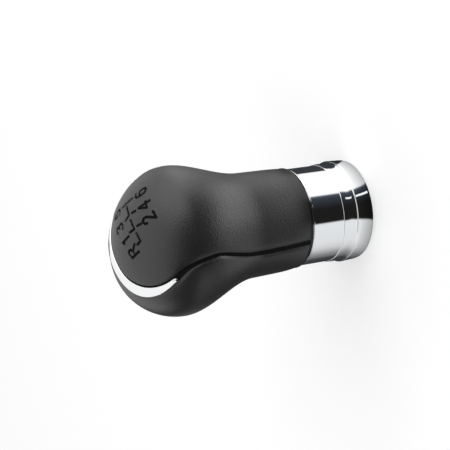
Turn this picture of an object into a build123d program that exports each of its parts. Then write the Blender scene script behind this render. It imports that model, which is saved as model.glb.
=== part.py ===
from build123d import *
import os
from math import cos, radians, sin, sqrt

# A shift knob with a lift ring. +Z runs up the gear lever, +Y to the front of the car, +X to its right.
# The origin is on the lever's axis, in the plane of the ring's lower rim. Millimetres.

# Lift ring, the chrome sleeve
ring_radius = 16.95
ring_wall = 1.6
ring_band_radius = 17.3
ring_band_height = 7.6
ring_foot_inset = 2.8
ring_foot_rise = 4.4
ring_groove_depth = 0.6
ring_groove_height = 0.5
ring_bead_radius = 17.8
ring_bead_top = 12.6
ring_lip = 1.5
ring_top_chamfer = 0.4
ring_overlap = 2.0
lift_stroke = 8.0

# Grip outline
grip_foot = 25.1
neck_wall = 1.15
flare_start = 42.8
head_radius = 25.4
head_height = 68.2
grip_top = 88.0
neck_lean = 0.55
head_lean = 3.1
crown_lean = 7.9
dome_angles = (0, 16, 32, 47, 61, 73, 83)
neck_steps = 3
flare_steps = 5

# Covers, trim and rim
cover_wall = 2.6
cover_fillet = 0.5
seam_width = 1.5
seam_depth = 0.6
seam_overrun = 0.6
trim_proud = 0.2
rim_height = 0.8
rim_inset = 0.3
peg_radius = 1.8
peg_length = 6.0
cover_peg_shares = (0.3, 0.9)
trim_peg_radius = 1.3
trim_peg_spread = 6.0
trim_peg_forward = 9.2

# Seam and crescent in side view: distance forward, and share of the height of the neck, flare or dome
seam_slant = (1.0, -0.35)
seam_foot = -6.8
seam_waist = (-6.4, 0.92)
seam_hip = (-9.0, 0.4)
seam_cheek = (-12.9, 0.855)
seam_tip = (-5.6, 0.435)
seam_tip_run = (1.0, 0.6)
crescent_run = (1.0, 0.5)
crescent_rear = ((1.0, 0.675), (6.0, 0.875), (8.3, 1.0))
crescent_front = ((3.0, 0.595), (9.8, 0.79), (12.8, 0.97))
crescent_rear_step = (0.5, 0.8)
crescent_front_step = (1.0, -0.6)
crescent_tip_fillet = 0.3

# Inner pieces
guide_radius = 10.5
guide_foot = 6.0
core_headroom = 1.0
key_width = 3.0
key_depth = 1.2
carrier_wall = 2.0
carrier_flange_height = 9.0
bush_radius = 7.2
bush_length = 31.0
bush_hex_flats = 15.0
bush_hex_height = 3.0
thread_radius = 5.32
thread_depth = 27.5
thread_chamfer = 0.7
washer_thickness = 1.0
washer_radius = 13.6
clip_thickness = 1.2
clip_seat_radius = 9.6
clip_radius = 12.6
clip_mouth_angle = 60.0
spring_wire = 1.2
spring_turns = 5

# Clearances
ring_gap = 0.15
running_gap = 0.05
fit_gap = 0.05
core_gap = 0.1
trim_rear_gap = 0.5
trim_front_gap = 0.15

# Heights and radii that follow from the sizes above
ring_bore = ring_radius - ring_wall
ring_top = grip_foot + ring_overlap
pocket_radius = ring_radius + ring_gap
neck_radius = pocket_radius + neck_wall
cover_foot = grip_foot + rim_height
shoulder_height = ring_top + lift_stroke + core_headroom
washer_height = shoulder_height - washer_thickness
clip_height = guide_foot + ring_lip
carrier_radius = ring_bore - fit_gap
carrier_bore = carrier_radius - carrier_wall
carrier_top = ring_top - core_headroom
flange_foot = clip_height + clip_thickness + running_gap
flange_top = flange_foot + carrier_flange_height
spring_radius = (guide_radius + carrier_bore) / 2
cover_peg_heights = [flare_start + (head_height - flare_start) * share for share in cover_peg_shares]
reach = 2 * head_radius
stand = (Align.CENTER, Align.CENTER, Align.MIN)


# Grip outline: level circles whose centres lean forward with height, closed by a dome

def flare_at(height):
    share = min(max((height - flare_start) / (head_height - flare_start), 0), 1)
    return share**2 * (3 - 2 * share)


def lean_at(height):
    dome_share = max(height - head_height, 0) / (grip_top - head_height)
    return neck_lean + (head_lean - neck_lean) * flare_at(height) + (crown_lean - head_lean) * dome_share**2


def radius_at(height):
    return neck_radius + (head_radius - neck_radius) * flare_at(height)


def grip_body(inset):
    neck = [cover_foot + (flare_start - cover_foot) * step / neck_steps for step in range(neck_steps)]
    flare = [flare_start + (head_height - flare_start) * step / flare_steps for step in range(flare_steps)]
    circles = [(height, radius_at(height) - inset) for height in neck + flare]
    for angle in dome_angles:
        dome_rise = (grip_top - inset - head_height) * sin(radians(angle))
        circles.append((head_height + dome_rise, (head_radius - inset) * cos(radians(angle))))
    sections = []
    for height, radius in circles:
        with BuildSketch(Plane((0, lean_at(height), height), x_dir=(0, 1, 0))) as section:
            Circle(radius)
        sections.append(section.sketch)
    crown = Vertex(0, lean_at(grip_top - inset), grip_top - inset)
    with BuildPart() as body:
        loft([*sections, crown])
    return body.part


# Side view outlines that divide the grip into rear cover, front cover and crescent

def side_point(spot, low, high):
    return Vector(spot[0], low + (high - low) * spot[1])


seam_start = Vector(seam_foot, cover_foot)
seam_end = side_point(seam_tip, head_height, grip_top)
seam_points = [
    seam_start,
    side_point(seam_waist, cover_foot, flare_start),
    side_point(seam_hip, flare_start, head_height),
    side_point(seam_cheek, flare_start, head_height),
    seam_end,
]
rear_points = [seam_end + Vector(*crescent_rear_step)]
rear_points += [side_point(spot, head_height, grip_top) for spot in crescent_rear]
front_points = [seam_end + Vector(*crescent_front_step)]
front_points += [side_point(spot, head_height, grip_top) for spot in crescent_front]


def seam_line(shift=0):
    step = Vector(*seam_slant).normalized() * shift
    return Spline(*[point + step for point in seam_points], tangents=((0, 1), seam_tip_run))


def crescent_edge(points, shift=0):
    step = Vector(crescent_run[1], -crescent_run[0]).normalized() * shift
    return Spline(*[point + step for point in points], tangents=(crescent_run, (0, 1)))


def cover_prism(crescent_points, far_side):
    crescent_end = crescent_points[-1]
    with BuildPart() as prism:
        with BuildSketch(Plane.YZ):
            with BuildLine():
                seam_line()
                Line(seam_end, crescent_points[0])
                crescent_edge(crescent_points)
                Polyline(
                    crescent_end,
                    (crescent_end.X, grip_top + cover_wall),
                    (far_side, grip_top + cover_wall),
                    (far_side, cover_foot),
                    seam_start,
                )
            make_face()
        extrude(amount=reach, both=True)
    return prism.part


with BuildPart() as crescent_prism:
    with BuildSketch(Plane.YZ) as crescent:
        with BuildLine():
            rear_edge = crescent_edge(rear_points, trim_rear_gap)
            front_edge = crescent_edge(front_points, -trim_front_gap)
            Line(rear_edge @ 0, front_edge @ 0)
            Polyline(
                rear_edge @ 1,
                ((rear_edge @ 1).X, grip_top + cover_wall),
                ((front_edge @ 1).X, grip_top + cover_wall),
                front_edge @ 1,
            )
        make_face()
        fillet(crescent.vertices().sort_by(Axis.X)[:2], radius=crescent_tip_fillet)
    extrude(amount=reach, both=True)

overrun = Vector(*seam_tip_run).normalized() * seam_overrun
with BuildPart() as seam_groove:
    with BuildSketch(Plane.YZ):
        with BuildLine():
            rear_bank = seam_line(-seam_width / 2)
            front_bank = seam_line(seam_width / 2)
            Line(rear_bank @ 0, front_bank @ 0)
            Polyline(rear_bank @ 1, rear_bank @ 1 + overrun, front_bank @ 1 + overrun, front_bank @ 1)
        make_face()
    extrude(amount=reach, both=True)
    add(grip_body(seam_depth), mode=Mode.SUBTRACT)

inner_body = grip_body(cover_wall)

# Both covers before they are divided
with BuildPart() as shell:
    add(grip_body(0))
    fillet(shell.faces().sort_by(Axis.Z)[0].edges(), radius=cover_fillet)
    add(inner_body, mode=Mode.SUBTRACT)
    with Locations((0, 0, cover_foot)):
        Cylinder(pocket_radius, shoulder_height - cover_foot, align=stand, mode=Mode.SUBTRACT)

# Rear cover, with the pegs that hold it to the core
with BuildPart() as rear_cover:
    add(shell.part)
    add(cover_prism(rear_points, reach), mode=Mode.SUBTRACT)
    add(seam_groove.part, mode=Mode.SUBTRACT)
    for height in cover_peg_heights:
        with Locations((0, lean_at(height) - radius_at(height) + cover_wall / 2, height)):
            Cylinder(peg_radius, peg_length + cover_wall / 2, rotation=(-90, 0, 0), align=stand)

# Front cover
with BuildPart() as front_cover:
    add(shell.part)
    add(cover_prism(front_points, -reach), mode=Mode.SUBTRACT)
    add(seam_groove.part, mode=Mode.SUBTRACT)
    for height in cover_peg_heights:
        with Locations((0, lean_at(height) + radius_at(height) - cover_wall / 2, height)):
            Cylinder(peg_radius, peg_length + cover_wall / 2, rotation=(90, 0, 0), align=stand)

# Crescent trim, a little proud of the covers
trim_reach = sqrt(trim_peg_spread**2 + (trim_peg_forward - lean_at(grip_top)) ** 2)
trim_crown = head_height + (grip_top - head_height) * sqrt(1 - (trim_reach / head_radius) ** 2)
trim_peg_foot = trim_crown - cover_wall - peg_length
with BuildPart() as crescent_trim:
    add(grip_body(-trim_proud))
    add(inner_body, mode=Mode.SUBTRACT)
    add(crescent_prism.part, mode=Mode.INTERSECT)
    for side in (-1, 1):
        with Locations((side * trim_peg_spread, trim_peg_forward, trim_peg_foot)):
            Cylinder(trim_peg_radius, peg_length + cover_wall / 2, align=stand)

# Rim ring bonded under both covers
with BuildPart() as rim_ring:
    with BuildSketch(Plane.XY.offset(grip_foot)):
        with Locations((0, neck_lean)):
            Circle(neck_radius - rim_inset)
        Circle(pocket_radius, mode=Mode.SUBTRACT)
    extrude(amount=rim_height)

# Moulded core: head, guide tube, seat of the lever bush, clip groove, key ways and peg holes
with BuildPart() as grip_core:
    add(grip_body(cover_wall + core_gap))
    with Locations((0, 0, cover_foot)):
        Cylinder(reach, shoulder_height - cover_foot, align=stand, mode=Mode.SUBTRACT)
    with Locations((0, 0, guide_foot)):
        Cylinder(guide_radius, shoulder_height - guide_foot, align=stand)
        Cylinder(bush_radius + fit_gap, bush_length + fit_gap, align=stand, mode=Mode.SUBTRACT)
    with BuildSketch(Plane.XY.offset(guide_foot)):
        RegularPolygon(bush_hex_flats / 2 + fit_gap, 6, major_radius=False)
    extrude(amount=bush_hex_height + fit_gap, mode=Mode.SUBTRACT)
    with BuildSketch(Plane.XY.offset(clip_height - fit_gap)):
        Circle(guide_radius)
        Circle(clip_seat_radius, mode=Mode.SUBTRACT)
    extrude(amount=clip_thickness + 2 * fit_gap, mode=Mode.SUBTRACT)
    key_way_length = flange_top + lift_stroke + core_headroom - guide_foot
    for side in (-1, 1):
        with Locations((side * (guide_radius - key_depth / 2), 0, guide_foot)):
            Box(key_depth, key_width, key_way_length, align=stand, mode=Mode.SUBTRACT)
    hole_radius = peg_radius + fit_gap
    for height in cover_peg_heights:
        inner_radius = radius_at(height) - cover_wall
        with Locations((0, lean_at(height) - inner_radius + peg_length + fit_gap, height)):
            Cylinder(hole_radius, reach, rotation=(90, 0, 0), align=stand, mode=Mode.SUBTRACT)
        with Locations((0, lean_at(height) + inner_radius - peg_length - fit_gap, height)):
            Cylinder(hole_radius, reach, rotation=(-90, 0, 0), align=stand, mode=Mode.SUBTRACT)
    for side in (-1, 1):
        with Locations((side * trim_peg_spread, trim_peg_forward, trim_peg_foot - fit_gap)):
            Cylinder(trim_peg_radius + fit_gap, reach, align=stand, mode=Mode.SUBTRACT)

# Threaded bush for the lever
with BuildPart() as lever_bush:
    with BuildSketch(Plane.XY.offset(guide_foot)):
        RegularPolygon(bush_hex_flats / 2, 6, major_radius=False)
    extrude(amount=bush_hex_height)
    with Locations((0, 0, guide_foot)):
        Cylinder(bush_radius, bush_length, align=stand)
        Cylinder(thread_radius, thread_depth, align=stand, mode=Mode.SUBTRACT)
    mouth = lever_bush.edges().filter_by(GeomType.CIRCLE).group_by(Axis.Z)[0]
    chamfer(mouth, length=thread_chamfer)

# Lift ring: rounded foot band, groove, bead and plain sleeve
bead_foot = (ring_band_radius - ring_groove_depth, ring_band_height + ring_groove_height)
bead_crown = (ring_bead_radius, (bead_foot[1] + ring_bead_top) / 2)
foot_start = (ring_band_radius - ring_foot_inset, 0)
foot_end = (ring_band_radius, ring_foot_rise)
with BuildPart() as lift_ring:
    with BuildSketch(Plane.XZ):
        with BuildLine():
            Line((ring_bore - ring_lip, 0), foot_start)
            EllipticalCenterArc(
                (foot_start[0], foot_end[1]), ring_foot_inset, ring_foot_rise, start_angle=270, arc_size=90
            )
            Polyline(foot_end, (ring_band_radius, ring_band_height), bead_foot)
            ThreePointArc(bead_foot, bead_crown, (ring_radius, ring_bead_top))
            Polyline(
                (ring_radius, ring_bead_top),
                (ring_radius, ring_top - ring_top_chamfer),
                (ring_radius - ring_top_chamfer, ring_top),
                (ring_bore, ring_top),
                (ring_bore, ring_lip),
                (ring_bore - ring_lip, ring_lip),
                (ring_bore - ring_lip, 0),
            )
        make_face()
    revolve(axis=Axis.Z)

# Lift carrier, the slider inside the ring
with BuildPart() as lift_carrier:
    with BuildSketch(Plane.XY.offset(ring_lip)):
        Circle(carrier_radius)
        Circle(carrier_bore, mode=Mode.SUBTRACT)
    extrude(amount=carrier_top - ring_lip)
    with BuildSketch(Plane.XY.offset(flange_foot)):
        Circle(carrier_radius)
        Circle(guide_radius + running_gap, mode=Mode.SUBTRACT)
        key_height = key_depth + carrier_bore - guide_radius - 2 * running_gap
        key_centre = guide_radius - key_depth + 2 * running_gap + key_height / 2
        with Locations((-key_centre, 0), (key_centre, 0)):
            Rectangle(key_height, key_width - 2 * running_gap)
    extrude(amount=carrier_flange_height)

# Return spring between the carrier's flange and the washer
spring_length = washer_height - flange_top - spring_wire - 2 * running_gap
with BuildPart() as return_spring:
    with BuildLine():
        coil = Helix(
            pitch=spring_length / spring_turns,
            height=spring_length,
            radius=spring_radius,
            center=(0, 0, flange_top + spring_wire / 2 + running_gap),
        )
    with BuildSketch(Plane(origin=coil @ 0, z_dir=coil % 0)):
        Circle(spring_wire / 2)
    sweep()

# Thrust washer under the core's shoulder
with BuildPart() as spring_washer:
    with BuildSketch(Plane.XY.offset(washer_height)):
        Circle(washer_radius)
        Circle(guide_radius + fit_gap, mode=Mode.SUBTRACT)
    extrude(amount=washer_thickness)

# Stop clip, an open snap ring in the guide tube's groove
with BuildPart() as stop_clip:
    with BuildSketch(Plane.XY.offset(clip_height)):
        Circle(clip_radius)
        Circle(clip_seat_radius + fit_gap, mode=Mode.SUBTRACT)
        mouth_side = clip_radius / cos(radians(clip_mouth_angle / 2))
        mouth_x = mouth_side * sin(radians(clip_mouth_angle / 2))
        mouth_y = mouth_side * cos(radians(clip_mouth_angle / 2))
        with BuildLine():
            Polyline((0, 0), (mouth_x, -mouth_y), (-mouth_x, -mouth_y), close=True)
        make_face(mode=Mode.SUBTRACT)
    extrude(amount=clip_thickness)

os.makedirs("parts", exist_ok=True)

rear_cover.part.label = "rear_cover"
export_step(rear_cover.part, "parts/rear_cover.step")
front_cover.part.label = "front_cover"
export_step(front_cover.part, "parts/front_cover.step")
crescent_trim.part.label = "crescent_trim"
export_step(crescent_trim.part, "parts/crescent_trim.step")
rim_ring.part.label = "rim_ring"
export_step(rim_ring.part, "parts/rim_ring.step")
grip_core.part.label = "grip_core"
export_step(grip_core.part, "parts/grip_core.step")
lever_bush.part.label = "lever_bush"
export_step(lever_bush.part, "parts/lever_bush.step")
lift_ring.part.label = "lift_ring"
export_step(lift_ring.part, "parts/lift_ring.step")
lift_carrier.part.label = "lift_carrier"
export_step(lift_carrier.part, "parts/lift_carrier.step")
return_spring.part.label = "return_spring"
export_step(return_spring.part, "parts/return_spring.step")
spring_washer.part.label = "spring_washer"
export_step(spring_washer.part, "parts/spring_washer.step")
stop_clip.part.label = "stop_clip"
export_step(stop_clip.part, "parts/stop_clip.step")
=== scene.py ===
from math import acos, asin, cos, hypot, pi, radians, sin, sqrt

import bmesh
import bpy
from mathutils import Matrix, Vector
from mathutils.kdtree import KDTree


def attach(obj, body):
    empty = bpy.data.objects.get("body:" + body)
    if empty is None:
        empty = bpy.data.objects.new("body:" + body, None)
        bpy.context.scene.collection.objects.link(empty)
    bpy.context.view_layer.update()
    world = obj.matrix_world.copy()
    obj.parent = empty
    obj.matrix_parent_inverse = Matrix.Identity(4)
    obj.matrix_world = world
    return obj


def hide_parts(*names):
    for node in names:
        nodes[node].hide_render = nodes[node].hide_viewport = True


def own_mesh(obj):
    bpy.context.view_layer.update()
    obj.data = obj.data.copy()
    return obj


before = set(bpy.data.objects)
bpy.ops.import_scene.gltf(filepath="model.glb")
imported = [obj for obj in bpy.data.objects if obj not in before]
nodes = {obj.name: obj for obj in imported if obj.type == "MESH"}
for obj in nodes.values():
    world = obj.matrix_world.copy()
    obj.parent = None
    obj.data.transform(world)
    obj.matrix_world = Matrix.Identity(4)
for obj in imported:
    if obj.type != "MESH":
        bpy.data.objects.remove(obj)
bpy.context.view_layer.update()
toMetres = Matrix.Scale(0.001, 4)  # pieces are shaped in millimetres
print("frame loaded:", len(nodes), "nodes")

# grip outline: level circles whose centres lean forward, closed by a dome
grip = {
    "foot": 25.9,
    "neckRadius": 18.25,
    "flareStart": 42.8,
    "headHeight": 68.2,
    "headRadius": 25.4,
    "top": 88.0,
    "neckLean": 0.55,
    "headLean": 3.1,
    "crownLean": 7.9,
    "rayDrop": 6.0,
    "rayReach": 40.0,
    "halvings": 32,
}
domeRise = grip["top"] - grip["headHeight"]
rayStart = Vector((0, grip["headLean"], grip["headHeight"] - grip["rayDrop"]))
tiny = 1e-6


def clamp(value, low, high):
    return min(max(value, low), high)


def blend(start, end, share):
    return start + (end - start) * share


def smoothStep(share):
    share = clamp(share, 0, 1)
    return share * share * (3 - 2 * share)


def flareAt(height):
    return smoothStep((height - grip["flareStart"]) / (grip["headHeight"] - grip["flareStart"]))


def domeShare(height):
    return clamp((height - grip["headHeight"]) / domeRise, 0, 1)


def leanAt(height):
    level = blend(grip["neckLean"], grip["headLean"], flareAt(height))
    return level + (grip["crownLean"] - grip["headLean"]) * domeShare(height) ** 2


def radiusAt(height):
    level = blend(grip["neckRadius"], grip["headRadius"], flareAt(height))
    return level * sqrt(1 - domeShare(height) ** 2)


def heightAt(climb):  # climb is the way up the side, 0 at the widest level
    if climb < 0:
        return grip["headHeight"] + climb
    return grip["headHeight"] + domeRise * sin(min(climb / domeRise, pi / 2))


def climbAt(height):
    if height < grip["headHeight"]:
        return height - grip["headHeight"]
    return domeRise * asin(domeShare(height))


def gripPoint(angle, height):  # angle is counted from the rear
    radius = radiusAt(height)
    return Vector((radius * sin(angle), leanAt(height) - radius * cos(angle), height))


def gripNormal(point):
    step = 0.01
    height = min(point.z, grip["top"] - 2 * step)
    forward = point.y - leanAt(height)
    leanSlope = (leanAt(height + step) - leanAt(height - step)) / (2 * step)
    if height > grip["headHeight"]:
        flatness = (grip["headRadius"] / domeRise) ** 2
        upward = (point.z - grip["headHeight"]) * flatness - forward * leanSlope
    else:
        radiusSlope = (radiusAt(height + step) - radiusAt(height - step)) / (2 * step)
        upward = -forward * leanSlope - hypot(point.x, forward) * radiusSlope
    return Vector((point.x, forward, upward)).normalized()


def settle(point):  # moves a point near the head onto the outline, along a ray from inside it
    ray = (point - rayStart).normalized()
    near, far = 0.0, grip["rayReach"]
    for _ in range(grip["halvings"]):
        reach = (near + far) / 2
        tried = rayStart + ray * reach
        outward = hypot(tried.x, tried.y - leanAt(tried.z))
        inside = tried.z < grip["top"] and outward < radiusAt(tried.z)
        near, far = (reach, far) if inside else (near, reach)
    return rayStart + ray * near


def dropOn(x, y):  # the outline's point over a plan point of the head
    low, high = grip["headHeight"], grip["top"]
    for _ in range(grip["halvings"]):
        height = (low + high) / 2
        inside = hypot(x, y - leanAt(height)) < radiusAt(height)
        low, high = (height, high) if inside else (low, height)
    return Vector((x, y, low))


def edgeForward(edge, height):  # edge holds (height, forward, slope) along a side view line
    for (z0, y0, s0), (z1, y1, s1) in zip(edge, edge[1:]):
        if height <= z1:
            break
    span = z1 - z0
    t = clamp((height - z0) / span, 0, 1)
    start = (y0 * (1 + 2 * t) + s0 * span * t) * (1 - t) ** 2
    return start + (y1 * (3 - 2 * t) - s1 * span * (1 - t)) * t * t


def edgeAngle(edge, height):
    rearward = leanAt(height) - edgeForward(edge, height)
    return acos(clamp(rearward / max(radiusAt(height), tiny), -1, 1))


# helpers for meshes and materials
weldDistance = 1e-4  # millimetres
cellWeight = 0.6  # the cells' share in the grain, beside the noise


def finishMesh(bm, name, body, pieceMaterials, sharpAngle=None):
    bmesh.ops.transform(bm, matrix=toMetres, verts=bm.verts)
    mesh = bpy.data.meshes.new(name)
    for face in bm.faces:
        face.smooth = True
    bm.to_mesh(mesh)
    bm.free()
    if sharpAngle:
        mesh.set_sharp_from_angle(angle=radians(sharpAngle))
    piece = bpy.data.objects.new(name, mesh)
    bpy.context.collection.objects.link(piece)
    for material in pieceMaterials:
        mesh.materials.append(material)
    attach(piece, body)
    print("piece", name, len(mesh.polygons), "faces")
    return piece


def closeMesh(bm):
    bmesh.ops.remove_doubles(bm, verts=bm.verts, dist=weldDistance)
    bmesh.ops.recalc_face_normals(bm, faces=bm.faces)


def faceOutward(bm):
    face = max(bm.faces, key=lambda face: face.calc_area())
    if face.normal.dot(gripNormal(face.calc_center_median())) < 0:
        bmesh.ops.reverse_faces(bm, faces=bm.faces)


def gridMesh(columns, rows):  # a flat grid, and its points with the column and row of each
    bm = bmesh.new()
    bmesh.ops.create_grid(bm, x_segments=columns - 1, y_segments=rows - 1, size=0.5)
    return bm, [
        (vert, round((vert.co.x + 0.5) * (columns - 1)), round((vert.co.y + 0.5) * (rows - 1)))
        for vert in bm.verts
    ]


def newMaterial(name, **sockets):
    material = bpy.data.materials.new(name)
    material.use_nodes = True
    tree = material.node_tree
    shader = tree.nodes["Principled BSDF"]
    for socket, value in sockets.items():
        shader.inputs[socket].default_value = value
    return material, tree, shader


def addNode(tree, kind, **values):
    node = tree.nodes.new(kind)
    for name, value in values.items():
        setattr(node, name, value)
    return node


def makeGrainGroup():  # fine moulded grain, with a slow unevenness beside it
    group = bpy.data.node_groups.new("mouldedGrain", "ShaderNodeTree")
    sockets = {"Scale": "INPUT", "Unevenness": "INPUT", "Height": "OUTPUT", "Patch": "OUTPUT"}
    for name, side in sockets.items():
        group.interface.new_socket(name, in_out=side, socket_type="NodeSocketFloat")
    inside = addNode(group, "NodeGroupInput")
    outside = addNode(group, "NodeGroupOutput")
    place = addNode(group, "ShaderNodeTexCoord")
    cells = addNode(group, "ShaderNodeTexVoronoi", feature="SMOOTH_F1")
    fine = addNode(group, "ShaderNodeTexNoise")
    slow = addNode(group, "ShaderNodeTexNoise")
    both = addNode(group, "ShaderNodeMath", operation="MULTIPLY_ADD")
    both.inputs[1].default_value = cellWeight
    for texture in (cells, fine, slow):
        group.links.new(place.outputs["Object"], texture.inputs["Vector"])
    group.links.new(inside.outputs["Scale"], cells.inputs["Scale"])
    group.links.new(inside.outputs["Scale"], fine.inputs["Scale"])
    group.links.new(inside.outputs["Unevenness"], slow.inputs["Scale"])
    group.links.new(cells.outputs["Distance"], both.inputs[0])
    group.links.new(fine.outputs["Fac"], both.inputs[2])
    group.links.new(both.outputs[0], outside.inputs["Height"])
    group.links.new(slow.outputs["Fac"], outside.inputs["Patch"])
    return group


def addGrain(tree, shader, look):
    grain = addNode(tree, "ShaderNodeGroup", node_tree=grainGroup)
    grain.inputs["Scale"].default_value = look["grainScale"]
    grain.inputs["Unevenness"].default_value = look["patchScale"]
    bump = addNode(tree, "ShaderNodeBump")
    bump.inputs["Strength"].default_value = look["grainStrength"]
    bump.inputs["Distance"].default_value = look["grainDepth"]
    tree.links.new(grain.outputs["Height"], bump.inputs["Height"])
    tree.links.new(bump.outputs["Normal"], shader.inputs["Normal"])
    tint = addNode(tree, "ShaderNodeMix", data_type="RGBA")
    tint.inputs["A"].default_value = (*look["dark"], 1)
    tint.inputs["B"].default_value = (*look["light"], 1)
    tree.links.new(grain.outputs["Patch"], tint.inputs["Factor"])
    tree.links.new(tint.outputs["Result"], shader.inputs["Base Color"])
    gloss = addNode(tree, "ShaderNodeMapRange")
    gloss.inputs["To Min"].default_value = look["roughness"][0]
    gloss.inputs["To Max"].default_value = look["roughness"][1]
    tree.links.new(grain.outputs["Patch"], gloss.inputs["Value"])
    tree.links.new(gloss.outputs["Result"], shader.inputs["Roughness"])


grainGroup = makeGrainGroup()

finishes = {
    "leatherette": {
        "dark": (0.0085, 0.0085, 0.009),
        "light": (0.017, 0.017, 0.018),
        "roughness": (0.37, 0.46),
        "grainScale": 1700,
        "patchScale": 70,
        "grainStrength": 0.45,
        "grainDepth": 0.00015,
        "metal": 0,
        "specular": 0.7,
    },
    # black that stands in for shade: painted shade on the seam's groove floor and a painted shadow
    # on the step under the gloss rim; the gear pattern's stroke floors take the same black
    "paintedShadeBlack": {
        "dark": (0.004, 0.004, 0.004),
        "light": (0.007, 0.007, 0.007),
        "roughness": (0.7, 0.85),
        "grainScale": 900,
        "patchScale": 90,
        "grainStrength": 0.2,
        "grainDepth": 0.0001,
        "metal": 0,
        "specular": 0.12,
    },
    "rimGloss": {
        "dark": (0.006, 0.006, 0.007),
        "light": (0.01, 0.01, 0.011),
        "roughness": (0.12, 0.2),
        "grainScale": 500,
        "patchScale": 80,
        "grainStrength": 0.05,
        "grainDepth": 0.00005,
        "metal": 0,
    },
    "blackMoulding": {
        "dark": (0.012, 0.012, 0.013),
        "light": (0.022, 0.022, 0.023),
        "roughness": (0.45, 0.6),
        "grainScale": 1200,
        "patchScale": 60,
        "grainStrength": 0.25,
        "grainDepth": 0.0001,
        "metal": 0,
    },
    "greyMoulding": {
        "dark": (0.05, 0.05, 0.053),
        "light": (0.075, 0.075, 0.079),
        "roughness": (0.5, 0.65),
        "grainScale": 1200,
        "patchScale": 60,
        "grainStrength": 0.25,
        "grainDepth": 0.0001,
        "metal": 0,
    },
    "chrome": {
        "dark": (0.86, 0.87, 0.88),
        "light": (0.92, 0.925, 0.93),
        "roughness": (0.045, 0.085),
        "grainScale": 900,
        "patchScale": 55,
        "grainStrength": 0.012,
        "grainDepth": 0.00005,
        "metal": 1,
    },
    "brass": {
        "dark": (0.52, 0.36, 0.13),
        "light": (0.66, 0.48, 0.2),
        "roughness": (0.22, 0.4),
        "grainScale": 800,
        "patchScale": 120,
        "grainStrength": 0.1,
        "grainDepth": 0.00008,
        "metal": 1,
    },
    "springSteel": {
        "dark": (0.36, 0.36, 0.37),
        "light": (0.5, 0.5, 0.51),
        "roughness": (0.25, 0.42),
        "grainScale": 1100,
        "patchScale": 150,
        "grainStrength": 0.12,
        "grainDepth": 0.00006,
        "metal": 1,
    },
}
materials = {}
plainSpecular = 0.5
for finish, finishLook in finishes.items():
    material, tree, shader = newMaterial(finish, Metallic=finishLook["metal"])
    shader.inputs["Specular IOR Level"].default_value = finishLook.get("specular", plainSpecular)
    addGrain(tree, shader, finishLook)
    materials[finish] = material
print("finishes:", ", ".join(materials))

# gear pattern, pressed into the rear cover; plan coordinates, millimetres
pattern = {
    "strokeWidth": 0.78,
    "blackSpread": 0.04,
    "depth": 0.5,
    "shoulder": 0.3,
    "rimWidth": 0.45,
    "rimRise": 0.06,
    "margin": 0.45,
    "pointStep": 0.06,
    "cuts": 3,
    "digitHeight": 4.0,
    "digitWidth": 2.5,
    "slant": 0.14,
    "digits": {
        "6": (9.2, -13.2),
        "5": (11.2, -0.9),
        "4": (3.3, -13.9),
        "3": (5.0, -1.4),
        "2": (-1.9, -13.8),
        "1": (-0.8, -2.5),
        "R": (-6.3, -2.9),
    },
    "gates": (
        ((10.2, -9.8), (11.0, -4.6)),
        ((9.1, -7.0), (5.2, -7.6), (4.8, -5.5)),
        ((4.3, -10.6), (4.9, -9.0)),
        ((3.0, -7.7), (-0.9, -7.8), (-0.3, -5.6)),
        ((-1.4, -11.0), (-0.9, -9.4)),
        ((-2.7, -7.8), (-5.8, -7.6), (-5.8, -6.0)),
    ),
}
# digits drawn in a unit box, first along its width, then up its height
digitLines = {
    "1": (((0.2, 0.78), (0.55, 1.0), (0.55, 0.0)),),
    "2": (((0.02, 0.76), (0.14, 0.94), (0.4, 1.0), (0.7, 0.98), (0.92, 0.82), (0.9, 0.6),
           (0.0, 0.0), (1.0, 0.0)),),
    "3": (((0.05, 0.9), (0.35, 1.0), (0.72, 0.96), (0.88, 0.8), (0.8, 0.6), (0.45, 0.53)),
          ((0.45, 0.53), (0.84, 0.44), (0.96, 0.22), (0.75, 0.04), (0.35, 0.0), (0.03, 0.12))),
    "4": (((0.74, 0.0), (0.74, 1.0), (0.0, 0.32), (1.0, 0.32)),),
    "5": (((0.92, 1.0), (0.22, 1.0), (0.12, 0.55), (0.5, 0.62), (0.84, 0.52), (0.96, 0.3),
           (0.82, 0.08), (0.45, 0.0), (0.05, 0.1)),),
    "6": (((0.86, 0.96), (0.52, 1.0), (0.2, 0.82), (0.05, 0.42), (0.16, 0.1), (0.5, 0.0),
           (0.86, 0.1), (0.95, 0.33), (0.8, 0.56), (0.45, 0.62), (0.12, 0.46)),),
    "R": (((0.0, 0.0), (0.0, 1.0), (0.72, 1.0), (1.04, 0.9), (1.06, 0.64), (0.76, 0.5), (0.0, 0.5)),
          ((0.58, 0.5), (1.2, -0.04))),
}


def patternLines():
    lines = list(pattern["gates"])
    for digit, (middleX, middleY) in pattern["digits"].items():
        for line in digitLines[digit]:
            placed = []
            for along, up in line:
                rise = (up - 0.5) * pattern["digitHeight"]
                shift = (along - 0.5) * pattern["digitWidth"] + rise * pattern["slant"]
                placed.append((middleX + shift, middleY + rise))
            lines.append(placed)
    return lines


def patternTree():
    points = []
    for line in patternLines():
        for (x0, y0), (x1, y1) in zip(line, line[1:]):
            count = max(2, round(hypot(x1 - x0, y1 - y0) / pattern["pointStep"]))
            for step in range(count + 1):
                share = step / count
                points.append(dropOn(blend(x0, x1, share), blend(y0, y1, share)))
    tree = KDTree(len(points))
    for index, point in enumerate(points):
        tree.insert(point, index)
    tree.balance()
    return tree


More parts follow.
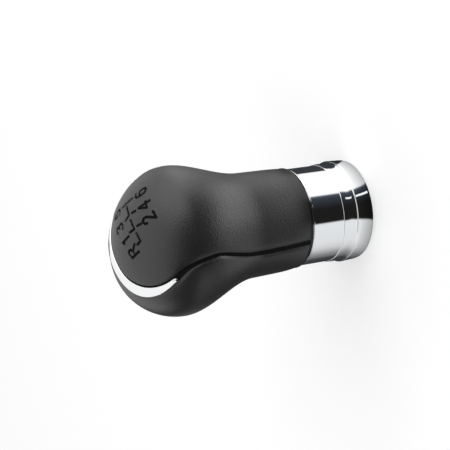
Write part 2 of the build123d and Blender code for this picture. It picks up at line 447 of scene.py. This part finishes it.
# covers: level rows from foot to crown, ending at the seam and the crescent
rearCover = {
    "node": "rear_cover",
    "faces": 1,
    "edge": (
        (25.9, -7.8, 0.05), (43.2, -6.75, 0.0), (49.7, -7.9, -0.36), (56.7, -10.85, -0.42),
        (64.8, -13.0, 0.0), (71.7, -11.6, 0.55), (75.0, -9.1, 1.15), (77.61, -5.6, 1.75),
        (81.57, 0.6, 1.45), (85.53, 5.85, 1.1), (88.0, 7.9, 0.0),
    ),
    "top": 88.0,
    "lipReach": 2.2,
    "lipDepth": 0.45,
    "lipSteps": (2.2, 1.8, 1.45, 1.1, 0.8, 0.55, 0.35, 0.18, 0.06),
    "columns": 96,
}
frontCover = {
    "node": "front_cover",
    "faces": -1,
    "edge": (
        (25.9, -5.9, 0.06), (43.0, -4.75, 0.0), (49.7, -6.4, -0.4), (56.7, -9.65, -0.44),
        (63.3, -11.8, 0.0), (71.7, -10.0, 0.6), (76.38, -4.15, 1.75), (79.98, 3.0, 1.89),
        (83.84, 9.8, 1.32), (87.6, 12.79, 0.0),
    ),
    "top": 87.6,
    "lipReach": 1.3,
    "lipDepth": 0.55,
    "lipSteps": (1.3, 1.1, 0.92, 0.76, 0.6, 0.46, 0.33, 0.21, 0.11, 0.04),
    "columns": 110,
}
coverLook = {
    "wall": 0.28,
    "seamFloor": 1.15,
    "seamFloorStart": 0.03,
    "seamDepth": 0.75,
    "slantLimit": 3.0,
    "lipShare": 0.45,
    "edgePoints": 2600,
    "trimLipReach": 0.45,
    "trimLipDepth": 0.28,
    "trimFold": 1.2,
    "tipStart": 75.6,
    "tipEnd": 77.4,
    "footInsetRear": 0.35,
    "footInsetFront": 1.4,
    "footRoundHeight": 7.0,
    "footTaperHeight": 24.0,
    "footTaperShare": 0.45,
    "footEdge": 0.3,
    "footEdgeInset": 0.12,
    "pocketTop": 36.1,
    "pocketReach": 17.4,
    "footSteps": (0, 0.06, 0.13, 0.21, 0.3, 0.5, 0.8, 1.2, 1.7, 2.3),
    "crownSteps": (0.9, 0.65, 0.45, 0.3, 0.18, 0.09, 0.03, 0),
    "neckStep": 0.9,
    "domeStep": 0.55,
}


def coverRows(cover):
    foot = climbAt(grip["foot"])
    top = climbAt(cover["top"])
    rows = [foot + step for step in coverLook["footSteps"]]
    while rows[-1] < top - coverLook["crownSteps"][0] - coverLook["domeStep"]:
        onNeck = rows[-1] < -coverLook["neckStep"]
        rows.append(rows[-1] + coverLook["neckStep" if onNeck else "domeStep"])
    rows += [top - step for step in coverLook["crownSteps"] if top - step > rows[-1]]
    return rows


def coverAngle(cover, height):
    angle = edgeAngle(cover["edge"], height)
    return angle if cover["faces"] > 0 else pi - angle


def coverPoint(cover, arc, height):
    turn = arc / max(radiusAt(height), tiny)
    return gripPoint(turn if cover["faces"] > 0 else pi - turn, height)


def edgeTree(cover):  # points along the cover's edge, closer together towards the crown
    foot, top = climbAt(grip["foot"]), climbAt(cover["top"])
    count = coverLook["edgePoints"]
    tree = KDTree(2 * count + 2)
    for step in range(count + 1):
        height = heightAt(top - (top - foot) * (step / count) ** 2)
        arc = coverAngle(cover, height) * radiusAt(height)
        tree.insert(coverPoint(cover, arc, height), 2 * step)
        tree.insert(coverPoint(cover, -arc, height), 2 * step + 1)
    tree.balance()
    return tree


def slantAt(cover, climb):  # how much the edge leans across the rows
    step = 0.05
    low, high = heightAt(climb - step), heightAt(climb + step)
    turn = coverAngle(cover, high) - coverAngle(cover, low)
    return sqrt(1 + (radiusAt(heightAt(climb)) * turn / (2 * step)) ** 2)


def footInset(point):  # the covers draw in towards the ring, most at the front
    rise = max(point.z - grip["foot"], 0)
    if rise > coverLook["footTaperHeight"]:
        return 0
    share = (1 + (point.y - leanAt(point.z)) / radiusAt(point.z)) / 2
    full = blend(coverLook["footInsetRear"], coverLook["footInsetFront"], share)
    taperShare = coverLook["footTaperShare"]
    taper = taperShare * (1 - smoothStep(rise / coverLook["footTaperHeight"]))
    rounded = (1 - taperShare) * max(1 - rise / coverLook["footRoundHeight"], 0) ** 2
    edge = coverLook["footEdgeInset"] * max(1 - rise / coverLook["footEdge"], 0) ** 2
    return full * (taper + rounded) + edge


def clearOfRing(point):  # nothing of a cover's skin reaches into the ring's way
    reach = hypot(point.x, point.y)
    if point.z < coverLook["pocketTop"] and reach < coverLook["pocketReach"]:
        scale = coverLook["pocketReach"] / reach
        return Vector((point.x * scale, point.y * scale, point.z))
    return point


def columnArcs(cover, climb):  # (arc, share of the seam's floor) across one row
    edgeArc = coverAngle(cover, heightAt(climb)) * radiusAt(heightAt(climb))
    slant = min(slantAt(cover, climb), coverLook["slantLimit"])
    widest = cover["lipSteps"][0]
    band = min(widest * slant, coverLook["lipShare"] * edgeArc) / widest
    side = [(edgeArc - step * band, 0) for step in cover["lipSteps"]]
    side += [(edgeArc, 0), (edgeArc, coverLook["seamFloorStart"]), (edgeArc, 1)]
    inner = edgeArc - widest * band
    middle = [(inner * (2 * step / cover["columns"] - 1), 0) for step in range(1, cover["columns"])]
    return [(-arc, floor) for arc, floor in reversed(side)] + middle + side, slant


def makeCover(cover):
    rows = coverRows(cover)
    lines = [columnArcs(cover, climb) for climb in rows]
    edgePoints = edgeTree(cover)
    tipSpan = coverLook["tipEnd"] - coverLook["tipStart"]
    bm, places = gridMesh(len(lines[0][0]), len(rows))
    floorVerts = set()
    for vert, column, row in places:
        height = heightAt(rows[row])
        arcs, slant = lines[row]
        arc, floor = arcs[column]
        towardTrim = smoothStep((height - coverLook["tipStart"]) / tipSpan)
        if floor:
            floorVerts.add(vert)
            depth = blend(coverLook["seamDepth"], coverLook["trimFold"], towardTrim)
            reach = coverLook["seamFloor"] * slant * (1 - towardTrim) * floor
            point = coverPoint(cover, arc + (reach if arc > 0 else -reach), height)
        else:
            point = coverPoint(cover, arc, height)
            away = edgePoints.find(point)[2]
            lipReach = blend(cover["lipReach"], coverLook["trimLipReach"], towardTrim)
            lipDepth = blend(cover["lipDepth"], coverLook["trimLipDepth"], towardTrim)
            depth = lipDepth * (1 - min(away / lipReach, 1)) ** 2
        vert.co = clearOfRing(point - gripNormal(point) * (depth + footInset(point)))
    # faces on the seam's groove floor take the black of painted shade
    for face in bm.faces:
        if all(vert in floorVerts for vert in face.verts):
            face.material_index = 1
    closeMesh(bm)
    faceOutward(bm)
    return bm


def pressPattern(bm):
    strokes = patternTree()
    halfStroke = pattern["strokeWidth"] / 2
    near = halfStroke + pattern["shoulder"] + pattern["margin"]
    faces = [face for face in bm.faces if strokes.find(face.calc_center_median())[2] < near]
    edges = list({edge for face in faces for edge in face.edges})
    split = bmesh.ops.subdivide_edges(bm, edges=edges, cuts=pattern["cuts"], use_grid_fill=True)
    touched = {vert for face in faces if face.is_valid for vert in face.verts}
    touched |= {item for item in split["geom"] if isinstance(item, bmesh.types.BMVert)}
    for vert in touched:
        point = settle(vert.co)
        away = strokes.find(point)[2]
        beyond = away - halfStroke - pattern["shoulder"] / 2
        sunk = pattern["depth"] * smoothStep(-beyond / pattern["shoulder"])
        raised = pattern["rimRise"] * sin(pi * clamp(beyond / pattern["rimWidth"], 0, 1))
        vert.co = point - gripNormal(point) * (sunk - raised)
    # faces near a stroke's middle take the same black as the seam's painted shade
    for face in {face for vert in touched for face in vert.link_faces}:
        away = strokes.find(settle(face.calc_center_median()))[2]
        if away < halfStroke + pattern["blackSpread"]:
            face.material_index = 1


def addWall(piece, thickness):
    wall = piece.modifiers.new("wall", "SOLIDIFY")
    wall.thickness = thickness * 0.001
    wall.offset = -1


def coverPiece(cover, name, bm):
    coverMaterials = [materials["leatherette"], materials["paintedShadeBlack"]]
    piece = finishMesh(bm, name, "grip", coverMaterials)
    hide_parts(cover["node"])
    addWall(piece, coverLook["wall"])


rearMesh = makeCover(rearCover)
pressPattern(rearMesh)
coverPiece(rearCover, "rearLeatherette", rearMesh)
coverPiece(frontCover, "frontLeatherette", makeCover(frontCover))

# crescent trim: rows from tip to tip, columns from the rear cover's edge to the front cover's
trimLook = {
    "rearTip": 77.3,
    "frontTip": 75.7,
    "rearGap": 0.6,
    "frontGap": 0.1,
    "frontBend": 1.7,
    "proud": 0.2,
    "roll": 0.4,
    "rollDepth": 0.2,
    "fold": 1.4,
    "wall": 0.4,
    "tipRound": 1.3,
    "tipCorners": (0.7, 0.08),
    "tipReach": 30,
    "rowsPerSide": 60,
    "rowBunching": 1.5,
    "edgeShare": 0.42,
    "across": (0, 0.05, 0.12, 0.22, 0.36, 0.55, 0.8, 1.1),
    "middleColumns": 8,
}


def trimEdge(cover, tip, share, bend):  # a point on a cover's edge: crown at 0, tips at 1 and -1
    top, low = climbAt(cover["top"]), climbAt(tip)
    height = heightAt(top - (top - low) * abs(share) ** bend)
    angle = edgeAngle(cover["edge"], height)
    return gripPoint(angle if share > 0 else -angle, height)


def shiftedEdge(cover, tip, share, bend, gap):  # the same point, moved square to the edge
    step = 0.01
    ahead = trimEdge(cover, tip, min(share + step, 1), bend)
    behind = trimEdge(cover, tip, max(share - step, -1), bend)
    point = trimEdge(cover, tip, share, bend)
    return point + gripNormal(point).cross(ahead - behind).normalized() * gap


def trimEnds(share):
    rear = shiftedEdge(rearCover, trimLook["rearTip"], share, 1, trimLook["rearGap"])
    bend = trimLook["frontBend"]
    front = shiftedEdge(frontCover, trimLook["frontTip"], share, bend, -trimLook["frontGap"])
    return rear, front


def rowShare(share):  # rows lie closer together towards the tips
    bunched = 1 - (1 - abs(share)) ** trimLook["rowBunching"]
    return bunched if share > 0 else -bunched


def makeTrim():
    edgeSteps = trimLook["across"]
    width = 2 * (len(edgeSteps) + 1) + trimLook["middleColumns"]
    rowCount = 2 * trimLook["rowsPerSide"] + 3
    bm, places = gridMesh(width, rowCount)
    for vert, column, row in places:
        folded = column in (0, width - 1) or row in (0, rowCount - 1)
        share = rowShare(clamp((row - 1) / trimLook["rowsPerSide"] - 1, -1, 1))
        rear, front = trimEnds(share)
        span = (front - rear).length
        scale = min(1, trimLook["edgeShare"] * span / edgeSteps[-1])
        column = clamp(column, 1, width - 2) - 1
        mirrored = width - 3 - column
        if column < len(edgeSteps):
            along = edgeSteps[column] * scale
        elif mirrored < len(edgeSteps):
            along = span - edgeSteps[mirrored] * scale
        else:
            start = edgeSteps[-1] * scale
            step = (column - len(edgeSteps) + 1) / (trimLook["middleColumns"] + 1)
            along = start + (span - 2 * start) * step
        fromTip = (1 - abs(share)) * trimLook["tipReach"]
        bite = max(1 - fromTip / trimLook["tipRound"], 0)
        sweep = 1 - sqrt(1 - bite * bite)
        rearCut, frontCut = [corner * sweep for corner in trimLook["tipCorners"]]
        point = settle(rear.lerp(front, rearCut + along / span * (1 - rearCut - frontCut)))
        away = min(along, span - along, fromTip)
        rolled = trimLook["rollDepth"] * (1 - min(away / trimLook["roll"], 1)) ** 2
        depth = trimLook["fold"] if folded else rolled - trimLook["proud"]
        vert.co = point - gripNormal(point) * depth
    closeMesh(bm)
    faceOutward(bm)
    return bm


trim = finishMesh(makeTrim(), "crescentTrim", "grip", [materials["chrome"]])
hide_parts("crescent_trim")
addWall(trim, trimLook["wall"])

# chrome lift ring: a profile turned about the lever's axis
ringLook = {
    "radius": 16.95,
    "bore": 15.35,
    "lip": 1.5,
    "footRadius": 16.0,
    "footRise": 2.4,
    "bandLow": 17.65,
    "bandHigh": 17.9,
    "bandTop": 7.7,
    "bandEdge": 0.25,
    "fillet": (0.55, 1.7),
    "beadRadius": 17.22,
    "beadCrown": 0.08,
    "beadTop": 12.2,
    "beadStep": 0.55,
    "lineFoot": 24.1,
    "lineHeight": 0.6,
    "lineRise": 0.12,
    "top": 27.1,
    "topRound": 0.4,
    "footSteps": 12,
    "bandSteps": 6,
    "edgeSteps": 6,
    "filletSteps": 10,
    "beadSteps": 8,
    "shoulderSteps": 6,
    "sleeveSteps": 10,
    "lineSteps": 8,
    "topSteps": 5,
    "turnSteps": 192,
}


def shares(steps):
    return [step / steps for step in range(1, steps + 1)]


def quarter(steps):  # (sine, cosine) pairs over a quarter turn, without its start
    return [(sin(pi / 2 * share), cos(pi / 2 * share)) for share in shares(steps)]


def ringProfile():
    look = ringLook
    lipRadius = look["bore"] - look["lip"]
    points = [(lipRadius, 0.0), (look["footRadius"], 0.0)]
    footWidth = look["bandLow"] - look["footRadius"]
    for sine, cosine in quarter(look["footSteps"]):
        points.append((look["footRadius"] + footWidth * sine, look["footRise"] * (1 - cosine)))
    bandEdge = look["bandEdge"]
    edgeFoot = look["bandTop"] - bandEdge
    for share in shares(look["bandSteps"]):
        points.append((
            blend(look["bandLow"], look["bandHigh"], share),
            blend(look["footRise"], edgeFoot, share),
        ))
    for sine, cosine in quarter(look["edgeSteps"]):
        points.append((look["bandHigh"] - bandEdge * (1 - cosine), edgeFoot + bandEdge * sine))
    filletWidth, filletRise = look["fillet"]
    for sine, cosine in quarter(look["filletSteps"]):
        points.append((
            look["beadRadius"] + filletWidth * (1 - sine),
            look["bandTop"] + filletRise * (1 - cosine),
        ))
    beadFoot = look["bandTop"] + filletRise
    for share in shares(look["beadSteps"]):
        points.append((
            look["beadRadius"] + look["beadCrown"] * sin(pi * share),
            blend(beadFoot, look["beadTop"], share),
        ))
    for sine, cosine in quarter(look["shoulderSteps"]):
        points.append((
            blend(look["radius"], look["beadRadius"], cosine),
            look["beadTop"] + look["beadStep"] * sine,
        ))
    sleeveFoot = look["beadTop"] + look["beadStep"]
    for share in shares(look["sleeveSteps"]):
        points.append((look["radius"], blend(sleeveFoot, look["lineFoot"], share)))
    for share in shares(look["lineSteps"]):
        points.append((
            look["radius"] + look["lineRise"] * sin(pi * share),
            look["lineFoot"] + look["lineHeight"] * (1 - cos(pi * share)) / 2,
        ))
    points.append((look["radius"], look["top"] - look["topRound"]))
    for sine, cosine in quarter(look["topSteps"]):
        points.append((
            look["radius"] - look["topRound"] * (1 - cosine),
            look["top"] - look["topRound"] * (1 - sine),
        ))
    inner = [(look["bore"], look["top"]), (look["bore"], look["lip"]), (lipRadius, look["lip"])]
    return points + inner


def spinProfile(bm, points, steps):
    verts = [bm.verts.new((radius, 0, height)) for radius, height in points]
    edges = [bm.edges.new(pair) for pair in zip(verts, verts[1:] + verts[:1])]
    bmesh.ops.spin(
        bm,
        geom=verts + edges,
        cent=(0, 0, 0),
        axis=(0, 0, 1),
        angle=2 * pi,
        steps=steps,
        use_merge=True,
    )
    closeMesh(bm)


ringMesh = bmesh.new()
spinProfile(ringMesh, ringProfile(), ringLook["turnSteps"])
ringMaterials = [materials["chrome"]]
ring = finishMesh(ringMesh, "liftRing", "lift", ringMaterials, sharpAngle=40)
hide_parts("lift_ring")

# gloss rim under the covers, with a step below it coloured black as a painted shadow of the gap to
# the ring
rimLook = {
    "bore": 17.1,
    "outer": 17.52,
    "step": 17.2,
    "foot": 24.9,
    "mid": 25.35,
    "top": 25.98,
    "roundSteps": 8,
    "turnSteps": 160,
}


def rimProfile():
    look = rimLook
    middle = (look["mid"] + look["top"]) / 2
    roundRadius = (look["top"] - look["mid"]) / 2
    points = [
        (look["bore"], look["foot"]),
        (look["step"], look["foot"]),
        (look["step"], look["mid"]),
    ]
    for share in [0] + shares(look["roundSteps"]):
        turn = pi * (share - 0.5)
        points.append((
            look["outer"] - roundRadius * (1 - cos(turn)),
            middle + roundRadius * sin(turn),
        ))
    return points + [(look["bore"], look["top"])]


rimMesh = bmesh.new()
spinProfile(rimMesh, rimProfile(), rimLook["turnSteps"])
# faces of the step under the rim take the black of painted shadow
for face in rimMesh.faces:
    if face.calc_center_median().z < rimLook["mid"]:
        face.material_index = 1
rimMaterials = [materials["rimGloss"], materials["paintedShadeBlack"]]
rim = finishMesh(rimMesh, "glossRim", "grip", rimMaterials, sharpAngle=50)
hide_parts("rim_ring")

# return spring, which the ring squeezes as it is lifted; here it is built in one shape only
springLook = {
    "radius": 11.9,
    "wire": 1.2,
    "foot": 17.8,
    "top": 35.05,
    "turns": 5,
    "stepsPerTurn": 40,
    "wireSides": 12,
    "movingSeat": 17.75,
    "fixedSeat": 35.1,
    "stroke": 8.0,
}
coilRise = springLook["top"] - springLook["foot"] - springLook["wire"]
springMesh = bmesh.new()
wireHeight = springLook["foot"] + springLook["wire"] / 2
wirePlace = Matrix.Translation((springLook["radius"], 0, wireHeight))
bmesh.ops.create_circle(
    springMesh,
    cap_ends=True,
    segments=springLook["wireSides"],
    radius=springLook["wire"] / 2,
    matrix=wirePlace @ Matrix.Rotation(radians(90), 4, "X"),
)
coilSteps = springLook["turns"] * springLook["stepsPerTurn"]
bmesh.ops.spin(
    springMesh,
    geom=springMesh.verts[:] + springMesh.edges[:] + springMesh.faces[:],
    cent=(0, 0, 0),
    axis=(0, 0, 1),
    dvec=(0, 0, coilRise / coilSteps),
    angle=2 * pi * springLook["turns"],
    steps=coilSteps,
    use_duplicate=False,
)
closeMesh(springMesh)
spring = finishMesh(
    springMesh, "returnSpring", "grip", [materials["springSteel"]], sharpAngle=50
)
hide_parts("return_spring")
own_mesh(spring)

# thread ridge inside the lever bush
threadLook = {
    "radius": 5.4,
    "crest": 5.12,
    "rootHalfWidth": 0.5,
    "crestHalfWidth": 0.0625,
    "pitch": 1.25,
    "foot": 7.3,
    "turns": 20,
    "stepsPerTurn": 40,
}
threadMesh = bmesh.new()
ridgeCorners = (
    (threadLook["radius"], -threadLook["rootHalfWidth"]),
    (threadLook["crest"], -threadLook["crestHalfWidth"]),
    (threadLook["crest"], threadLook["crestHalfWidth"]),
    (threadLook["radius"], threadLook["rootHalfWidth"]),
)
ridge = [
    threadMesh.verts.new((radius, 0, threadLook["foot"] + rise)) for radius, rise in ridgeCorners
]
ridgeFace = threadMesh.faces.new(ridge)
bmesh.ops.spin(
    threadMesh,
    geom=ridge + ridgeFace.edges[:] + [ridgeFace],
    cent=(0, 0, 0),
    axis=(0, 0, 1),
    dvec=(0, 0, threadLook["pitch"] / threadLook["stepsPerTurn"]),
    angle=2 * pi * threadLook["turns"],
    steps=threadLook["turns"] * threadLook["stepsPerTurn"],
)
closeMesh(threadMesh)
finishMesh(threadMesh, "leverThread", "grip", [materials["brass"]], sharpAngle=30)

# CAD nodes that keep their shape
nodeFinishes = {
    "grip_core": "greyMoulding",
    "lever_bush": "brass",
    "lift_carrier": "blackMoulding",
    "spring_washer": "springSteel",
    "stop_clip": "springSteel",
}
for node, finish in nodeFinishes.items():
    for materialSlot in nodes[node].material_slots:
        materialSlot.material = materials[finish]
    if not nodes[node].material_slots:
        nodes[node].data.materials.append(materials[finish])
print("nodes finished:", ", ".join(nodeFinishes))

# studio: pale floor, soft lamps, a white surround, and cards that only gloss shows
studio = {
    "floorSize": 4.0,
    "floorCells": 8,
    "floorRoughness": 0.9,
    "floorColour": (0.9, 0.9, 0.9, 1),
    "floorGlow": 0.26,
    "surroundFill": 0.75,
    "surroundSeen": 1.0,
    "middle": (0, 0.002, 0.045),
    "cardSteps": 72,
    "lamps": (
        ("overheadBox", (0.46, -0.67, 0.42), 1.1, 0.9, 2.6),
        ("sideBox", (-0.75, -0.1, 0.45), 0.6, 0.5, 0.5),
    ),
}


def grey(level):
    return level, level, level


# cards for gloss alone: each is a profile turned about the lever's axis, coloured by the share of
# the way round; shade holds a near factor and the distances between which it fades to 1
cards = {
    "lowFence": {
        "profile": (
            (0.0182, 0.0004), (0.022, 0.0004), (0.026, 0.0004), (0.03, 0.0006), (0.03, 0.02),
        ),
        "strength": 1.15,
        "shade": (0.45, 0.019, 0.027),
        "colours": (
            (0.0, (0.69, 0.7, 0.71)), (0.097, (0.74, 0.75, 0.76)), (0.104, (0.011, 0.011, 0.01)),
            (0.17, grey(0.012)), (0.215, (0.034, 0.042, 0.055)), (0.229, (0.07, 0.085, 0.11)),
            (0.236, grey(1.0)), (0.39, grey(1.0)), (0.397, (0.035, 0.04, 0.045)),
            (0.6, (0.04, 0.043, 0.047)), (0.746, (0.03, 0.033, 0.035)),
            (0.865, (0.045, 0.048, 0.05)), (0.92, (0.26, 0.265, 0.27)),
            (0.965, (0.58, 0.585, 0.59)), (1.0, (0.69, 0.7, 0.71)),
        ),
    },
    "wideDish": {
        "profile": ((0.031, 0.0004), (0.07, 0.0004), (0.14, 0.0004), (0.4, 0.0004), (1.2, 0.0004)),
        "strength": 2.0,
        "shade": (0.3, 0.08, 0.17),
        "colours": (
            (0.0, grey(0.3)), (0.025, grey(0.08)), (0.08, grey(0.015)), (0.29, grey(0.015)),
            (0.36, grey(1.0)), (0.47, grey(1.0)), (0.52, grey(0.25)), (0.6, grey(0.2)),
            (0.74, grey(0.2)), (0.8, grey(0.1)), (0.88, grey(0.1)), (0.93, grey(0.35)),
            (0.97, grey(0.5)), (1.0, grey(0.3)),
        ),
    },
    "darkFlag": {
        "profile": ((0.3, 0.0006), (0.3, 0.1), (0.3, 0.26)),
        "arc": (-235, -95),
        "strength": 1.0,
        "colours": ((0.0, (0.015, 0.016, 0.017)), (1.0, (0.015, 0.016, 0.017))),
    },
    "softFlag": {
        "profile": ((0.3, 0.26), (0.3, 0.4), (0.3, 0.55), (0.3, 0.7)),
        "arc": (-194, -95),
        "strength": 1.0,
        "shade": (0.02, 0.37, 0.76),
        "colours": ((0.0, grey(0.95)), (1.0, grey(0.95))),
    },
    "lowFlag": {
        "profile": ((0.3, 0.0006), (0.3, 0.09)),
        "arc": (-310, -235),
        "strength": 1.0,
        "colours": ((0.0, (0.03, 0.031, 0.032)), (1.0, (0.03, 0.031, 0.032))),
    },
    "bounceCard": {
        "profile": (
            (0.034, 0.0008), (0.046, 0.0008), (0.058, 0.0008), (0.066, 0.0008), (0.076, 0.0008),
        ),
        "arc": (-214, -15),
        "strength": 0.4,
        "shade": (10.0, 0.052, 0.074),
        "colours": (
            (0.0, grey(0.3)), (0.06, grey(0.24)), (0.12, grey(0.36)), (0.2, grey(0.9)),
            (0.3, grey(1.0)), (0.42, grey(1.0)), (0.46, grey(0.3)), (0.82, grey(0.3)),
            (0.9, grey(0.31)), (1.0, grey(0.3)),
        ),
    },
    "slitCard": {
        "profile": ((0.0195, 0.0008), (0.0296, 0.0008), (0.0296, 0.005)),
        "arc": (-109.5, -106.5),
        "strength": 1.0,
        "colours": ((0.0, grey(1.0)), (1.0, grey(1.0))),
    },
}


def stagePiece(bm, name, material):
    mesh = bpy.data.meshes.new(name)
    bm.to_mesh(mesh)
    bm.free()
    mesh.materials.append(material)
    piece = bpy.data.objects.new(name, mesh)
    bpy.context.collection.objects.link(piece)
    return piece


def seenDirectly(tree):  # 1 for rays from the camera, off gloss and through glass
    path = addNode(tree, "ShaderNodeLightPath")
    first = addNode(tree, "ShaderNodeMath", operation="MAXIMUM")
    both = addNode(tree, "ShaderNodeMath", operation="MAXIMUM")
    tree.links.new(path.outputs["Is Camera Ray"], first.inputs[0])
    tree.links.new(path.outputs["Is Glossy Ray"], first.inputs[1])
    tree.links.new(first.outputs[0], both.inputs[0])
    tree.links.new(path.outputs["Is Transmission Ray"], both.inputs[1])
    return both.outputs[0]


floorPaper, floorTree, floorShader = newMaterial("floorPaper", Roughness=studio["floorRoughness"])
floorShader.inputs["Base Color"].default_value = studio["floorColour"]
floorShader.inputs["Emission Color"].default_value = (1, 1, 1, 1)
glow = addNode(floorTree, "ShaderNodeMath", operation="MULTIPLY")
glow.inputs[1].default_value = studio["floorGlow"]
floorTree.links.new(seenDirectly(floorTree), glow.inputs[0])
floorTree.links.new(glow.outputs[0], floorShader.inputs["Emission Strength"])
floorMesh = bmesh.new()
cells = studio["floorCells"]
bmesh.ops.create_grid(floorMesh, x_segments=cells, y_segments=cells, size=studio["floorSize"] / 2)
stagePiece(floorMesh, "floor", floorPaper)


def cardMaterial(name, look):
    material, tree, shader = newMaterial(name)
    shader.inputs["Base Color"].default_value = (0, 0, 0, 1)
    shader.inputs["Specular IOR Level"].default_value = 0
    shader.inputs["Emission Strength"].default_value = look["strength"]
    place = addNode(tree, "ShaderNodeTexCoord")
    turn = addNode(tree, "ShaderNodeTexGradient", gradient_type="RADIAL")
    ramp = addNode(tree, "ShaderNodeValToRGB")
    tree.links.new(place.outputs["Object"], turn.inputs["Vector"])
    tree.links.new(turn.outputs["Fac"], ramp.inputs["Fac"])
    stops = ramp.color_ramp.elements
    for position, colour in look["colours"][1:-1]:
        stops.new(position).color = (*colour, 1)
    stops[0].color = (*look["colours"][0][1], 1)
    stops[-1].color = (*look["colours"][-1][1], 1)
    shown = ramp.outputs["Color"]
    if "shade" in look:
        away = addNode(tree, "ShaderNodeVectorMath", operation="LENGTH")
        shade = addNode(tree, "ShaderNodeMapRange")
        for socket, value in zip(("To Min", "From Min", "From Max"), look["shade"]):
            shade.inputs[socket].default_value = value
        dimmed = addNode(tree, "ShaderNodeVectorMath", operation="SCALE")
        tree.links.new(place.outputs["Object"], away.inputs[0])
        tree.links.new(away.outputs["Value"], shade.inputs["Value"])
        tree.links.new(shown, dimmed.inputs[0])
        tree.links.new(shade.outputs["Result"], dimmed.inputs["Scale"])
        shown = dimmed.outputs["Vector"]
    tree.links.new(shown, shader.inputs["Emission Color"])
    return material


def makeCard(name, look):
    start, end = look.get("arc", (0, 360))
    bm = bmesh.new()
    verts = [bm.verts.new((radius, 0, height)) for radius, height in look["profile"]]
    edges = [bm.edges.new(pair) for pair in zip(verts, verts[1:])]
    toStart = Matrix.Rotation(radians(start), 3, "Z")
    bmesh.ops.rotate(bm, verts=verts, cent=(0, 0, 0), matrix=toStart)
    bmesh.ops.spin(
        bm,
        geom=verts + edges,
        cent=(0, 0, 0),
        axis=(0, 0, 1),
        angle=radians(end - start),
        steps=studio["cardSteps"],
        use_merge=end - start == 360,
    )
    card = stagePiece(bm, name, cardMaterial(name, look))
    card.visible_camera = False
    card.visible_diffuse = False
    card.visible_shadow = False


for cardName, cardLook in cards.items():
    makeCard(cardName, cardLook)

world = bpy.data.worlds.new("surround")
world.use_nodes = True
bpy.context.scene.world = world
worldTree = world.node_tree
fill = worldTree.nodes["Background"]
fill.inputs["Color"].default_value = (1, 1, 1, 1)
fill.inputs["Strength"].default_value = studio["surroundFill"]
white = addNode(worldTree, "ShaderNodeBackground")
white.inputs["Color"].default_value = (1, 1, 1, 1)
white.inputs["Strength"].default_value = studio["surroundSeen"]
choose = addNode(worldTree, "ShaderNodeMixShader")
worldTree.links.new(seenDirectly(worldTree), choose.inputs["Fac"])
worldTree.links.new(fill.outputs[0], choose.inputs[1])
worldTree.links.new(white.outputs[0], choose.inputs[2])
worldTree.links.new(choose.outputs[0], worldTree.nodes["World Output"].inputs["Surface"])

for lampName, place, width, depth, power in studio["lamps"]:
    lamp = bpy.data.lights.new(lampName, "AREA")
    lamp.shape = "RECTANGLE"
    lamp.size = width
    lamp.size_y = depth
    lamp.energy = power
    stand = bpy.data.objects.new(lampName, lamp)
    bpy.context.collection.objects.link(stand)
    stand.location = place
    aim = Vector(studio["middle"]) - Vector(place)
    stand.rotation_euler = aim.to_track_quat("-Z", "Y").to_euler()

# camera at the photo's angle
cameraLook = {
    "place": (-0.21691, -0.30005, 0.21864),
    "turn": (-18.011, 64.086, -145.874),
    "lens": 96,
    "sensor": 36,
    "nearest": 0.01,
}
camera = bpy.data.cameras.new("camera")
camera.lens = cameraLook["lens"]
camera.sensor_width = cameraLook["sensor"]
camera.clip_start = cameraLook["nearest"]
cameraStand = bpy.data.objects.new("camera", camera)
bpy.context.collection.objects.link(cameraStand)
cameraStand.location = cameraLook["place"]
cameraStand.rotation_euler = [radians(angle) for angle in cameraLook["turn"]]
bpy.context.scene.camera = cameraStand
bpy.context.scene.view_settings.view_transform = "Standard"
print("studio ready")
